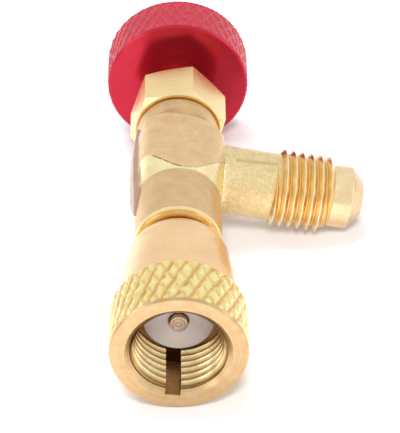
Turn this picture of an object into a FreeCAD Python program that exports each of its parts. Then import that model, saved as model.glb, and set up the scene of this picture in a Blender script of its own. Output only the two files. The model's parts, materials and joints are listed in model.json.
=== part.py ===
import FreeCAD, Part
import math
import os
import Sketcher

# Brass valve adapter: knurled swivel nut, forged tee body, flared side port,
# packing nut and a red hand knob that screws the depressor pin forward.
# Every piece is drawn along +Y from the mouth of the swivel nut (station 0),
# with the side port along +X, and then laid down as the adapter comes to rest.

doc = FreeCAD.newDocument("ValveAdapter")
dim = doc.addObject("Spreadsheet::Sheet", "dim")

# Driving dimensions in mm and degrees
SIZES = {
    # Places along the main axis, from the mouth of the swivel nut
    "gasket_front": 6.9,
    "flange_front": 9.5,
    "body_front": 23.15,
    "crossing": 40.5,
    "body_length": 27.65,
    "hex_length": 7.0,
    "knob_gap": 5.0,
    # Swivel nut
    "nut_radius": 9.12,
    "knurl_length": 8.1,
    "nut_knurl_depth": 0.3,
    "nut_knurl_row": 2.025,
    "nut_knurl_turn": -28.7,
    "nut_chamfer": 0.25,
    "countersink_radius": 6.9,
    "thread_crest": 5.7,
    "thread_root": 6.35,
    "thread_reach": 6.0,
    "crest_relief": 0.2,
    "relief_start": 9.0,
    "relief_length": 1.6,
    "relief_radius": 6.7,
    "slot_width": 2.0,
    "slot_depth_radius": 6.85,
    "slot_turn": 3.3,
    "tail_radius": 7.8,
    "tail_mid_radius": 6.9,
    "tail_end_radius": 4.3,
    "tail_round_start": 4.0,
    "tail_gap": 0.5,
    # Tailpiece and face gasket
    "flange_radius": 5.3,
    "flange_length": 2.4,
    "gasket_rim": 0.8,
    "neck_radius": 3.7,
    "spigot_radius": 3.2,
    "spigot_length": 7.0,
    "gas_bore": 2.0,
    "gasket_radius": 4.7,
    "gasket_boss_radius": 2.4,
    "gasket_boss_length": 1.1,
    # Depressor pin
    "pin_radius": 1.2,
    "pin_proud": 0.7,
    "pin_head_radius": 1.7,
    "pin_head_length": 1.3,
    # Forged body
    "turned_radius": 5.95,
    "rim_round": 0.9,
    "cheek_radius": 6.2,
    "saddle_radius": 9.3,
    "raw_radius": 6.45,
    "raw_apex": 7.1,
    "raw_spread": 2.6,
    "raw_rear": 5.8,
    "end_radius": 5.85,
    "end_chamfer": 0.35,
    "land_half_width": 6.95,
    "land_end_width": 6.33,
    "land_half_height": 2.7,
    "land_front": 12.8,
    "land_bow": 6.0,
    "land_round": 0.5,
    "shoulder_width": 6.7,
    "shoulder_rear_width": 6.2,
    "shoulder_bend": 5.0,
    "shoulder_gap": 1.0,
    "chamber_front": 4.0,
    "chamber_rear": 4.2,
    "chamber_radius": 3.1,
    "gland_radius": 4.8,
    # Side port
    "port_neck_radius": 4.8,
    "collar_length": 6.2,
    "port_thread_start": 14.0,
    "port_thread_end": 21.3,
    "port_thread_radius": 5.5,
    "port_thread_chamfer": 0.35,
    "nose_radius": 4.44,
    "nose_end": 24.4,
    "flare_tip_radius": 2.66,
    "port_bore": 2.1,
    "neck_fillet": 0.5,
    # Packing nut and its seals
    "hex_flats": 12.2,
    "hex_turn": 22.2,
    "hex_chamfer_radius": 6.0,
    "hex_chamfer_length": 0.75,
    "hex_back_chamfer": 0.35,
    "hex_gap": 0.3,
    "seal_length": 0.8,
    "seal_bore": 3.5,
    "stem_thread": 3.5,
    "gland_wall": 0.8,
    "groove_radius": 4.0,
    "groove_start": 0.5,
    "o_ring_section": 0.65,
    "backup_length": 0.6,
    # Stem
    "shank_radius": 2.5,
    "stem_nose_length": 4.0,
    "stem_thread_length": 4.0,
    "stem_lip_length": 1.1,
    "square_flats": 3.6,
    "screw_hole_depth": 7.0,
    # Knob and its screw
    "knob_radius": 10.4,
    "knob_length": 7.0,
    "knob_knurl_depth": 0.25,
    "knob_knurl_row": 1.55,
    "knob_knurl_turn": 3.3,
    "knob_chamfer": 0.35,
    "knob_web": 3.6,
    "knob_recess_radius": 5.2,
    "square_shortfall": 0.2,
    "washer_radius": 3.5,
    "washer_length": 0.4,
    "lock_radius": 2.8,
    "lock_length": 0.6,
    "lock_split": 0.5,
    "screw_radius": 1.5,
    "screw_length": 5.5,
    "head_radius": 2.75,
    "head_length": 1.7,
    "head_round": 0.5,
    "recess_width": 0.7,
    "recess_length": 3.0,
    "recess_depth": 1.0,
    # Clearances
    "running_gap": 0.1,
    "pin_gap": 0.15,
    "thread_gap": 0.05,
    "seat_gap": 0.05,
}
# Diamonds round the grip of the nut and of the knob
NUT_DIAMONDS = 31
KNOB_DIAMONDS = 38

for row, (name, size) in enumerate(SIZES.items(), start=1):
    dim.set("A%d" % row, name)
    dim.set("B%d" % row, str(size))
    dim.setAlias("B%d" % row, name)
doc.recompute()


def value(text):
    return float(dim.evalExpression(text))


def plane(body, role):
    return [f for f in body.Origin.OriginFeatures if f.Role == role][0]


# A sketch on one of the body's own planes, moved along the axes named in offset
def sketch_on(body, role, name, offset=None):
    sketch = body.newObject("Sketcher::SketchObject", name)
    sketch.AttachmentSupport = [(plane(body, role), "")]
    sketch.MapMode = "FlatFace"
    for axis, text in (offset or {}).items():
        sketch.setExpression("AttachmentOffset.Base." + axis, text)
    return sketch


# A closed outline through corners given as expressions; an arc replaces the
# straight side that starts at the corner with that number
def outline(sketch, corners, arcs=None):
    arcs = arcs or {}
    points = [FreeCAD.Vector(value(x), value(y), 0) for x, y in corners]
    first = sketch.GeometryCount
    count = len(points)
    for i, start in enumerate(points):
        end = points[(i + 1) % count]
        if i in arcs:
            radius_text, side = arcs[i]
            half = (end - start) * 0.5
            radius = value(radius_text)
            sagitta = radius - math.sqrt(max(radius ** 2 - half.Length ** 2, 0.0))
            normal = FreeCAD.Vector(half.y, -half.x, 0).normalize() * side
            middle = start + half + normal * sagitta
            sketch.addGeometry(Part.Arc(start, middle, end), False)
        else:
            sketch.addGeometry(Part.LineSegment(start, end), False)
    ends = []
    for i in range(count):
        geo = first + i
        position = 1
        if i in arcs:
            arc = sketch.Geometry[geo]
            if arc.StartPoint.sub(points[i]).Length > 1e-6:
                position = 2
        ends.append((geo, position, 3 - position))
    for i in range(count):
        geo, start, end = ends[i]
        next_geo, next_start, _ = ends[(i + 1) % count]
        sketch.addConstraint(Sketcher.Constraint("Coincident", geo, end, next_geo, next_start))
    for i, (x, y) in enumerate(corners):
        geo, start, _ = ends[i]
        for kind, text, size, axis in (("DistanceX", x, points[i].x, -2), ("DistanceY", y, points[i].y, -1)):
            if text == "0":
                sketch.addConstraint(Sketcher.Constraint("PointOnObject", geo, start, axis))
                continue
            index = sketch.addConstraint(Sketcher.Constraint(kind, -1, 1, geo, start, size))
            sketch.setExpression("Constraints[%d]" % index, text)
    for i, (radius_text, _) in arcs.items():
        index = sketch.addConstraint(Sketcher.Constraint("Radius", first + i, value(radius_text)))
        sketch.setExpression("Constraints[%d]" % index, radius_text)
    return sketch


def new_body(name):
    return doc.addObject("PartDesign::Body", name)


# Turn an outline about the main axis, or about the side port's axis
def turned(body, name, corners, arcs=None, cut=False, about_port=False):
    offset = {"y": "dim.crossing"} if about_port else None
    sketch = outline(sketch_on(body, "XY_Plane", name + "_outline", offset), corners, arcs)
    kind = "PartDesign::Groove" if cut else "PartDesign::Revolution"
    feature = body.newObject(kind, name)
    feature.Profile = sketch
    feature.ReferenceAxis = (sketch, ["H_Axis" if about_port else "V_Axis"])
    feature.Angle = 360
    doc.recompute()
    return feature


# Push a sketch outline through the piece, to both sides or one way
def extruded(body, name, sketch, length, cut=False, both=False, reverse=False):
    before = body.Shape.Volume if body.Tip else 0.0
    feature = body.newObject("PartDesign::Pocket" if cut else "PartDesign::Pad", name)
    feature.Profile = sketch
    feature.setExpression("Length", length)
    if both:
        feature.SideType = "Symmetric"
    feature.Reversed = reverse
    doc.recompute()
    if abs(feature.Shape.Volume - before) < 1e-3:
        raise RuntimeError("nothing changed: " + name)
    return feature


def rounded(body, name, edges, radius):
    base = body.Tip
    feature = body.newObject("PartDesign::Fillet", name)
    feature.Base = (base, edges)
    feature.setExpression("Radius", radius)
    doc.recompute()
    return feature


def rectangle(half_x, low_y, high_y):
    return [("-(%s)" % half_x, low_y), (half_x, low_y), (half_x, high_y), ("-(%s)" % half_x, high_y)]


def regular(count, corner_radius, turn):
    corners = []
    for k in range(count):
        angle = "(%s + %g) * 1 deg" % (turn, 360.0 * k / count)
        corners.append(("%s * cos(%s)" % (corner_radius, angle), "%s * sin(%s)" % (corner_radius, angle)))
    return corners


def circular_edges(shape, radius, station):
    names = []
    for i, edge in enumerate(shape.Edges, start=1):
        curve = edge.Curve
        if isinstance(curve, Part.Circle) and abs(curve.Radius - radius) < 1e-4:
            if abs(curve.Center.y - station) < 1e-4 and abs(curve.Center.x) < 1e-4:
                names.append("Edge%d" % i)
    return names


def boolean(kind, name, base, tool):
    feature = doc.addObject(kind, name)
    feature.Base = base
    feature.Tool = tool
    feature.Refine = True
    doc.recompute()
    return feature


def cylinder(name, radius, start, length, along_x=False):
    feature = doc.addObject("Part::Cylinder", name)
    feature.setExpression("Radius", radius)
    feature.setExpression("Height", length)
    turn = FreeCAD.Rotation(FreeCAD.Vector(0, 0, 1), FreeCAD.Vector(1, 0, 0) if along_x else FreeCAD.Vector(0, 1, 0))
    feature.Placement = FreeCAD.Placement(FreeCAD.Vector(0, 0, 0), turn)
    if along_x:
        feature.setExpression("Placement.Base.x", start)
        feature.setExpression("Placement.Base.y", "dim.crossing")
    else:
        feature.setExpression("Placement.Base.y", start)
    return feature


# Ring of pressed grooves round a grip: a lattice of points, high and low by turns,
# at whole and half steps of the diamonds; grooves or ridges run along its diagonals
def knurl_grooves(name, diamonds, radius, depth, row, peak_at, peak_turn, start, end, ridged=False):
    high, low = value(radius), value("%s - %s" % (radius, depth))
    outside, step, zero = 1.1 * high, value(row), value(peak_at)
    first = math.floor((value(start) - zero) / step) - 1
    last = math.ceil((value(end) - zero) / step) + 1
    turns = [math.radians(value(peak_turn)) + math.pi * k / diamonds for k in range(2 * diamonds)]

    def point(j, k, distance=None):
        if distance is None:
            distance = high if (j + k) % 2 == 0 else low
        angle = turns[k % (2 * diamonds)]
        return FreeCAD.Vector(distance * math.sin(angle), zero + j * step, distance * math.cos(angle))

    faces = []
    for k in range(2 * diamonds):
        for j in range(first, last):
            corners = [point(j, k), point(j, k + 1), point(j + 1, k + 1), point(j + 1, k)]
            if ((j + k) % 2 == 0) != ridged:
                corners = corners[1:] + corners[:1]
            faces.append(corners[:3])
            faces.append([corners[0], corners[2], corners[3]])
        for j in (first, last):
            faces.append([point(j, k), point(j, k + 1), point(j, k + 1, outside), point(j, k, outside)])
        faces.append([point(first, k, outside), point(first, k + 1, outside),
                      point(last, k + 1, outside), point(last, k, outside)])
    shell = Part.Shell([Part.Face(Part.makePolygon(face + face[:1])) for face in faces])
    shell.sewShape()
    solid = Part.Solid(shell)
    if solid.Volume < 0:
        solid.reverse()
    if not solid.isValid():
        raise RuntimeError("open lattice: " + name)
    feature = doc.addObject("Part::Feature", name)
    feature.Shape = solid
    return feature


pieces = {}

# Stations that several pieces share
body_end = "(dim.body_front + dim.body_length)"
gland_floor = "(dim.crossing + dim.chamber_rear)"
hex_front = "(%s + dim.hex_gap)" % body_end
hex_rear = "(%s + dim.hex_length)" % hex_front
knob_front = "(%s + dim.knob_gap)" % hex_rear
spigot_start = "(%s + dim.seal_length)" % gland_floor
groove_length = "(4 * dim.o_ring_section + dim.backup_length)"
groove_front = "(%s - dim.gland_wall - %s)" % (hex_rear, groove_length)
thread_stop = "(%s - dim.groove_start)" % groove_front
shoulder_rear = "(%s - dim.shoulder_gap)" % body_end
web_rear = "(%s + dim.knob_web)" % knob_front
flange_rear = "(dim.flange_front + dim.flange_length)"
spigot_end = "(dim.body_front + dim.spigot_length)"

# Forged tee body: turned front barrel, raw rear barrel with a V-shaped front
# edge, bright cheeks between the two, a long land and a short shoulder at the sides
barrel = new_body("barrel")
turned(barrel, "barrel_turned", [
    ("0", "dim.body_front"),
    ("dim.turned_radius", "dim.body_front"),
    ("dim.turned_radius", "dim.crossing + dim.raw_rear"),
    ("dim.end_radius", "dim.crossing + dim.raw_rear"),
    ("dim.end_radius", "%s - dim.end_chamfer" % body_end),
    ("dim.end_radius - dim.end_chamfer", body_end),
    ("0", body_end),
])
rounded(barrel, "barrel_rim", circular_edges(barrel.Shape, value("dim.turned_radius"), value("dim.body_front")),
        "dim.rim_round")

cheeks = boolean(
    "Part::Common", "cheeks",
    cylinder("cheek_barrel", "dim.cheek_radius", "dim.crossing - dim.land_front",
             "dim.land_front + dim.raw_rear / 2"),
    cylinder("saddle", "dim.saddle_radius", "-dim.raw_radius", "2 * dim.raw_radius", along_x=True))

wedge = new_body("rear_wedge")
extruded(wedge, "rear_wedge_pad", outline(sketch_on(wedge, "XY_Plane", "rear_wedge_outline"), [
    ("0", "dim.crossing - dim.raw_apex"),
    ("dim.land_half_width", "dim.crossing + dim.raw_spread"),
    ("dim.land_half_width", "dim.crossing + dim.raw_rear"),
    ("-dim.land_half_width", "dim.crossing + dim.raw_rear"),
    ("-dim.land_half_width", "dim.crossing + dim.raw_spread"),
], {0: ("3 * dim.land_half_width", 1), 4: ("3 * dim.land_half_width", 1)}), "4 * dim.raw_radius", both=True)
rear_barrel = boolean(
    "Part::Common", "rear_barrel", wedge,
    cylinder("raw_barrel", "dim.raw_radius", "dim.crossing - dim.land_front",
             "2 * dim.land_front"))

# Long land beside the port's back: bowed outwards, pointed towards the nut
land = new_body("land")
bulge = "(dim.land_half_width - dim.land_end_width)"
land_arc = "(dim.land_front + dim.raw_rear) ^ 2 / (8 * %s) + %s / 2" % (bulge, bulge)
extruded(land, "land_pad", outline(sketch_on(land, "XY_Plane", "land_plan"), [
    ("0", "dim.crossing - dim.land_front"),
    ("0", "dim.crossing + dim.raw_rear"),
    ("-dim.land_end_width", "dim.crossing + dim.raw_rear"),
    ("-dim.land_end_width", "dim.crossing - dim.land_front"),
], {2: (land_arc, 1)}), "2 * dim.land_half_height", both=True)
bow_length = "(dim.land_front - dim.land_bow)"
bow_arc = "%s ^ 2 / (2 * dim.land_half_height) + dim.land_half_height / 2" % bow_length
bow_start = "dim.crossing - dim.land_bow"
past_tip = "dim.crossing - dim.land_front - dim.land_half_height"
extruded(land, "land_bow", outline(sketch_on(land, "YZ_Plane", "land_side"), [
    (bow_start, "dim.land_half_height"),
    ("dim.crossing - dim.land_front", "0"),
    (bow_start, "-dim.land_half_height"),
    (bow_start, "-2 * dim.land_half_height"),
    (past_tip, "-2 * dim.land_half_height"),
    (past_tip, "2 * dim.land_half_height"),
    (bow_start, "2 * dim.land_half_height"),
], {0: (bow_arc, 1), 1: (bow_arc, 1)}), "3 * dim.land_half_width", cut=True, both=True)
land_edges = []
for index, edge in enumerate(land.Shape.Edges, start=1):
    if edge.BoundBox.XMax < -value("dim.land_end_width") + 1e-3:
        land_edges.append("Edge%d" % index)
rounded(land, "land_round", land_edges, "dim.land_round")

# Shoulder from the port's root towards the packing nut
shoulder = new_body("shoulder")
extruded(shoulder, "shoulder_pad", outline(sketch_on(shoulder, "XY_Plane", "shoulder_plan"), [
    ("0", "dim.crossing"),
    ("dim.shoulder_width", "dim.crossing"),
    ("dim.shoulder_width", "dim.crossing + dim.shoulder_bend"),
    ("dim.shoulder_rear_width", shoulder_rear),
    ("0", shoulder_rear),
]), "2 * dim.land_half_height", both=True)
shoulder_edges = []
for index, edge in enumerate(shoulder.Shape.Edges, start=1):
    box = edge.BoundBox
    past_bend = box.YMax > value("dim.crossing + dim.shoulder_bend") + 1e-3
    if box.XMin > value("dim.shoulder_rear_width") - 1e-3 and (past_bend or box.YLength > 1e-3):
        shoulder_edges.append("Edge%d" % index)
rounded(shoulder, "shoulder_round", shoulder_edges, "dim.land_round")

port = new_body("port")
turned(port, "port_turned", [
    ("0", "0"),
    ("dim.nose_end + dim.nose_radius - dim.flare_tip_radius", "0"),
    ("dim.nose_end + dim.nose_radius - dim.flare_tip_radius", "dim.flare_tip_radius"),
    ("dim.nose_end", "dim.nose_radius"),
    ("dim.port_thread_end", "dim.nose_radius"),
    ("dim.port_thread_end", "dim.port_thread_radius - dim.port_thread_chamfer"),
    ("dim.port_thread_end - dim.port_thread_chamfer", "dim.port_thread_radius"),
    ("dim.port_thread_start + dim.port_thread_chamfer", "dim.port_thread_radius"),
    ("dim.port_thread_start", "dim.port_neck_radius"),
    ("dim.collar_length + dim.neck_fillet", "dim.port_neck_radius"),
    ("dim.collar_length", "dim.port_neck_radius + dim.neck_fillet"),
    ("0", "dim.port_neck_radius + dim.neck_fillet"),
], about_port=True)

blank = doc.addObject("Part::MultiFuse", "tee_blank")
blank.Shapes = [barrel, cheeks, rear_barrel, land, shoulder, port]
blank.Refine = True
doc.recompute()

bores = new_body("bores")
turned(bores, "bores_turned", [
    ("0", "dim.body_front"),
    ("dim.spigot_radius", "dim.body_front"),
    ("dim.spigot_radius", spigot_end),
    ("dim.gas_bore", spigot_end),
    ("dim.gas_bore", "dim.crossing - dim.chamber_front"),
    ("dim.chamber_radius", "dim.crossing - dim.chamber_front"),
    ("dim.chamber_radius", gland_floor),
    ("dim.gland_radius", gland_floor),
    ("dim.gland_radius", body_end),
    ("0", body_end),
])
turned(bores, "port_bore", [
    ("0", "0"),
    ("dim.nose_end + dim.nose_radius", "0"),
    ("dim.nose_end + dim.nose_radius", "dim.port_bore"),
    ("0", "dim.port_bore"),
], about_port=True)
pieces["valve_body"] = boolean("Part::Cut", "tee_body", blank, bores)

# Swivel nut: knurled grip, long rounded tail, thread crests, relief groove
# behind the thread and one vent slot through it
nut = new_body("nut")
nut_end = "(dim.body_front - dim.tail_gap)"
turned(nut, "nut_turned", [
    ("dim.countersink_radius", "0"),
    ("dim.nut_radius - dim.nut_chamfer", "0"),
    ("dim.nut_radius + dim.nut_chamfer", "2 * dim.nut_chamfer"),
    ("dim.nut_radius + dim.nut_chamfer", "dim.knurl_length - 2 * dim.nut_chamfer"),
    ("dim.nut_radius - dim.nut_chamfer", "dim.knurl_length"),
    ("dim.tail_radius", "dim.knurl_length"),
    ("dim.tail_mid_radius", "%s - dim.tail_round_start" % nut_end),
    ("dim.tail_end_radius", nut_end),
    ("dim.neck_radius + dim.running_gap", nut_end),
    ("dim.neck_radius + dim.running_gap", "%s + dim.running_gap" % flange_rear),
    ("dim.flange_radius + dim.pin_gap", "%s + dim.running_gap" % flange_rear),
    ("dim.flange_radius + dim.pin_gap", "dim.relief_start + dim.relief_length"),
    ("dim.relief_radius", "dim.relief_start + dim.relief_length"),
    ("dim.relief_radius", "dim.relief_start"),
    ("dim.thread_crest + dim.crest_relief", "dim.relief_start"),
    ("dim.thread_crest + dim.crest_relief", "dim.thread_reach"),
    ("dim.thread_crest", "dim.thread_reach"),
    ("dim.thread_crest", "dim.countersink_radius - dim.thread_crest"),
], {5: ("8 * dim.tail_radius", 1), 6: ("dim.tail_round_start", 1)})
slot_sketch = sketch_on(nut, "XY_Plane", "slot_outline")
outline(slot_sketch, rectangle("dim.slot_width / 2", "-dim.nut_chamfer", "dim.relief_start + dim.relief_length / 2"))
extruded(nut, "vent_slot", slot_sketch, "dim.slot_depth_radius", cut=True)
nut_grooves = knurl_grooves("nut_grooves", NUT_DIAMONDS, "dim.nut_radius", "dim.nut_knurl_depth",
                            "dim.nut_knurl_row", "2 * dim.nut_knurl_row", "dim.nut_knurl_turn",
                            "0", "dim.knurl_length")
pieces["coupling_nut"] = boolean("Part::Cut", "knurled_nut", nut, nut_grooves)

# Tailpiece: flanged tube that holds the nut, screwed into the body's front
tail = new_body("tail")
turned(tail, "tail_turned", [
    ("dim.gas_bore", "dim.flange_front + dim.gasket_boss_length + dim.seat_gap"),
    ("dim.gasket_boss_radius + dim.seat_gap", "dim.flange_front + dim.gasket_boss_length + dim.seat_gap"),
    ("dim.gasket_boss_radius + dim.seat_gap", "dim.flange_front"),
    ("dim.gasket_radius + dim.seat_gap", "dim.flange_front"),
    ("dim.gasket_radius + dim.seat_gap", "dim.flange_front - dim.gasket_rim"),
    ("dim.flange_radius", "dim.flange_front - dim.gasket_rim"),
    ("dim.flange_radius", flange_rear),
    ("dim.neck_radius", flange_rear),
    ("dim.neck_radius", "dim.body_front"),
    ("dim.spigot_radius", "dim.body_front"),
    ("dim.spigot_radius", spigot_end),
    ("dim.gas_bore", spigot_end),
])
pieces["tailpiece"] = tail

# Face gasket: soft washer with a boss that plugs into the tailpiece
gasket = new_body("gasket")
turned(gasket, "gasket_turned", [
    ("dim.pin_radius + dim.pin_gap", "dim.gasket_front"),
    ("dim.gasket_radius", "dim.gasket_front"),
    ("dim.gasket_radius", "dim.flange_front"),
    ("dim.gasket_boss_radius", "dim.flange_front"),
    ("dim.gasket_boss_radius", "dim.flange_front + dim.gasket_boss_length"),
    ("dim.pin_radius + dim.pin_gap", "dim.flange_front + dim.gasket_boss_length"),
])
pieces["face_gasket"] = gasket

# Depressor pin: a headed rod, its head caught in the stem's nose
nose_start = "(%s - dim.stem_thread_length - dim.running_gap - dim.stem_nose_length)" % thread_stop
pocket_start = "(%s + dim.stem_lip_length)" % nose_start
pocket_end = "(%s + dim.pin_head_length + 2 * dim.seat_gap)" % pocket_start
pin = new_body("pin")
turned(pin, "pin_turned", [
    ("0", "dim.gasket_front - dim.pin_proud"),
    ("dim.pin_radius", "dim.gasket_front - dim.pin_proud"),
    ("dim.pin_radius", "%s + dim.seat_gap" % pocket_start),
    ("dim.pin_head_radius", "%s + dim.seat_gap" % pocket_start),
    ("dim.pin_head_radius", "%s - dim.seat_gap" % pocket_end),
    ("0", "%s - dim.seat_gap" % pocket_end),
])
pieces["depressor_pin"] = pin

# Stem: pocketed nose, thread, round shank, square end with a screw hole
stem = new_body("stem_body")
square_end = "(%s - dim.square_shortfall)" % web_rear
turned(stem, "stem_turned", [
    ("dim.pin_radius + dim.running_gap", nose_start),
    ("dim.shank_radius", nose_start),
    ("dim.shank_radius", "%s + dim.stem_nose_length" % nose_start),
    ("dim.stem_thread - dim.thread_gap", "%s + dim.stem_nose_length" % nose_start),
    ("dim.stem_thread - dim.thread_gap", "%s - dim.running_gap" % thread_stop),
    ("dim.shank_radius", "%s - dim.running_gap" % thread_stop),
    ("dim.shank_radius", square_end),
    ("dim.screw_radius", square_end),
    ("dim.screw_radius", "%s - dim.screw_hole_depth" % square_end),
    ("0", "%s - dim.screw_hole_depth" % square_end),
    ("0", pocket_end),
    ("dim.pin_head_radius + dim.running_gap", pocket_end),
    ("dim.pin_head_radius + dim.running_gap", pocket_start),
    ("dim.pin_radius + dim.running_gap", pocket_start),
])
flats = sketch_on(stem, "XZ_Plane", "flats_outline", {"z": "-(%s)" % square_end})
outline(flats, regular(4, "2 * dim.shank_radius", "45"))
outline(flats, regular(4, "dim.square_flats / sqrt(2)", "45"))
extruded(stem, "square_flats", flats, "dim.knob_web - dim.square_shortfall", cut=True, reverse=True)
pieces["stem"] = stem

# Packing nut: hexagon with turned corners, threaded spigot, seal groove
packing = new_body("packing")
hexagon = sketch_on(packing, "XZ_Plane", "hexagon", {"z": "-(%s)" % hex_front})
outline(hexagon, regular(6, "dim.hex_flats / sqrt(3)", "dim.hex_turn"))
extruded(packing, "hex_prism", hexagon, "dim.hex_length", reverse=True)
corner = "dim.hex_flats / sqrt(3)"
turned(packing, "hex_front_chamfer", [
    ("dim.hex_chamfer_radius", hex_front),
    (corner + " + dim.running_gap", "%s + dim.hex_chamfer_length" % hex_front),
    (corner + " + dim.running_gap", hex_front),
], cut=True)
turned(packing, "hex_rear_chamfer", [
    ("dim.hex_chamfer_radius", hex_rear),
    (corner + " + dim.running_gap", hex_rear),
    (corner + " + dim.running_gap", "%s - dim.hex_back_chamfer" % hex_rear),
], cut=True)
turned(packing, "packing_spigot", [
    ("0", spigot_start),
    ("dim.gland_radius - dim.thread_gap", spigot_start),
    ("dim.gland_radius - dim.thread_gap", hex_front + " + dim.hex_length / 2"),
    ("0", hex_front + " + dim.hex_length / 2"),
])
turned(packing, "packing_bores", [
    ("0", spigot_start),
    ("dim.stem_thread", spigot_start),
    ("dim.stem_thread", thread_stop),
    ("dim.shank_radius + dim.running_gap", thread_stop),
    ("dim.shank_radius + dim.running_gap", groove_front),
    ("dim.groove_radius", groove_front),
    ("dim.groove_radius", "%s + %s" % (groove_front, groove_length)),
    ("dim.shank_radius + dim.running_gap", "%s + %s" % (groove_front, groove_length)),
    ("dim.shank_radius + dim.running_gap", hex_rear),
    ("0", hex_rear),
], cut=True)
pieces["packing_nut"] = packing

# Seal ring under the packing nut's spigot
seal = new_body("seal")
turned(seal, "seal_turned", [
    ("dim.seal_bore + dim.thread_gap", gland_floor),
    ("dim.gland_radius - dim.thread_gap", gland_floor),
    ("dim.gland_radius - dim.thread_gap", spigot_start),
    ("dim.seal_bore + dim.thread_gap", spigot_start),
])
pieces["packing_nut_seal"] = seal


# Rubber ring squeezed between the shank and the groove
def o_ring(name, centre):
    ring = doc.addObject("Part::Torus", name)
    ring.setExpression("Radius1", "(dim.shank_radius + dim.groove_radius) / 2")
    ring.setExpression("Radius2", "dim.o_ring_section")
    turn = FreeCAD.Rotation(FreeCAD.Vector(0, 0, 1), FreeCAD.Vector(0, 1, 0))
    ring.Placement = FreeCAD.Placement(FreeCAD.Vector(0, 0, 0), turn)
    ring.setExpression("Placement.Base.y", centre)
    return ring


pieces["front_stem_o_ring"] = o_ring("front_ring", "%s + dim.o_ring_section" % groove_front)
backup_start = "(%s + 2 * dim.o_ring_section)" % groove_front
backup = new_body("backup")
turned(backup, "backup_turned", [
    ("dim.shank_radius + dim.seat_gap", backup_start),
    ("dim.groove_radius - dim.seat_gap", backup_start),
    ("dim.groove_radius - dim.seat_gap", "%s + dim.backup_length" % backup_start),
    ("dim.shank_radius + dim.seat_gap", "%s + dim.backup_length" % backup_start),
])
pieces["backup_ring"] = backup
pieces["rear_stem_o_ring"] = o_ring("rear_ring", "%s + dim.backup_length + dim.o_ring_section" % backup_start)

# Hand knob: knurled disc with a square hole and a recess for its screw
knob = new_body("knob_body")
knob_rear = "(%s + dim.knob_length)" % knob_front
turned(knob, "knob_turned", [
    ("0", knob_front),
    ("dim.knob_radius - dim.knob_chamfer", knob_front),
    ("dim.knob_radius + dim.knob_chamfer", "%s + 2 * dim.knob_chamfer" % knob_front),
    ("dim.knob_radius + dim.knob_chamfer", "%s - 2 * dim.knob_chamfer" % knob_rear),
    ("dim.knob_radius - dim.knob_chamfer", knob_rear),
    ("dim.knob_recess_radius", knob_rear),
    ("dim.knob_recess_radius", web_rear),
    ("0", web_rear),
])
square = sketch_on(knob, "XZ_Plane", "square_hole_outline", {"z": "-(%s)" % web_rear})
outline(square, regular(4, "(dim.square_flats / 2 + dim.seat_gap) * sqrt(2)", "45"))
extruded(knob, "square_hole", square, "dim.knob_web", cut=True, reverse=True)
knob_grooves = knurl_grooves("knob_grooves", KNOB_DIAMONDS, "dim.knob_radius", "dim.knob_knurl_depth",
                             "dim.knob_knurl_row", knob_front, "dim.knob_knurl_turn", knob_front, knob_rear, ridged=True)
pieces["knob"] = boolean("Part::Cut", "knurled_knob", knob, knob_grooves)

# Flat washer, split lock washer and the screw that hold the knob
washer = new_body("washer")
turned(washer, "washer_turned", [
    ("dim.screw_radius + dim.running_gap", web_rear),
    ("dim.washer_radius", web_rear),
    ("dim.washer_radius", "%s + dim.washer_length" % web_rear),
    ("dim.screw_radius + dim.running_gap", "%s + dim.washer_length" % web_rear),
])
pieces["knob_washer"] = washer
lock_start = "(%s + dim.washer_length)" % web_rear
lock = new_body("lock")
turned(lock, "lock_turned", [
    ("dim.screw_radius + dim.running_gap", lock_start),
    ("dim.lock_radius", lock_start),
    ("dim.lock_radius", "%s + dim.lock_length" % lock_start),
    ("dim.screw_radius + dim.running_gap", "%s + dim.lock_length" % lock_start),
])
split = sketch_on(lock, "XZ_Plane", "split_outline", {"z": "-(%s)" % lock_start})
outline(split, rectangle("dim.lock_split / 2", "0", "dim.lock_radius + dim.running_gap"))
extruded(lock, "lock_split", split, "4 * dim.lock_length", cut=True, both=True)
pieces["lock_washer"] = lock
head_start = "(%s + dim.lock_length)" % lock_start
screw = new_body("screw")
turned(screw, "screw_turned", [
    ("0", "%s - dim.screw_length" % head_start),
    ("dim.screw_radius - dim.thread_gap", "%s - dim.screw_length" % head_start),
    ("dim.screw_radius - dim.thread_gap", head_start),
    ("dim.head_radius", head_start),
    ("dim.head_radius", "%s + dim.head_length - dim.head_round" % head_start),
    ("dim.head_radius - dim.head_round", "%s + dim.head_length" % head_start),
    ("0", "%s + dim.head_length" % head_start),
], {4: ("1.2 * dim.head_round", 1)})
cross = sketch_on(screw, "XZ_Plane", "cross_outline", {"z": "-(%s + dim.head_length)" % head_start})
wide, slim = "dim.recess_length / 2", "dim.recess_width / 2"
outline(cross, [
    (slim, "-(%s)" % wide), (slim, "-(%s)" % slim), (wide, "-(%s)" % slim),
    (wide, slim), (slim, slim), (slim, wide),
    ("-(%s)" % slim, wide), ("-(%s)" % slim, slim), ("-(%s)" % wide, slim),
    ("-(%s)" % wide, "-(%s)" % slim), ("-(%s)" % slim, "-(%s)" % slim), ("-(%s)" % slim, "-(%s)" % wide),
])
extruded(screw, "cross_recess", cross, "dim.recess_depth", cut=True, reverse=True)
pieces["knob_screw"] = screw
doc.recompute()

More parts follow.
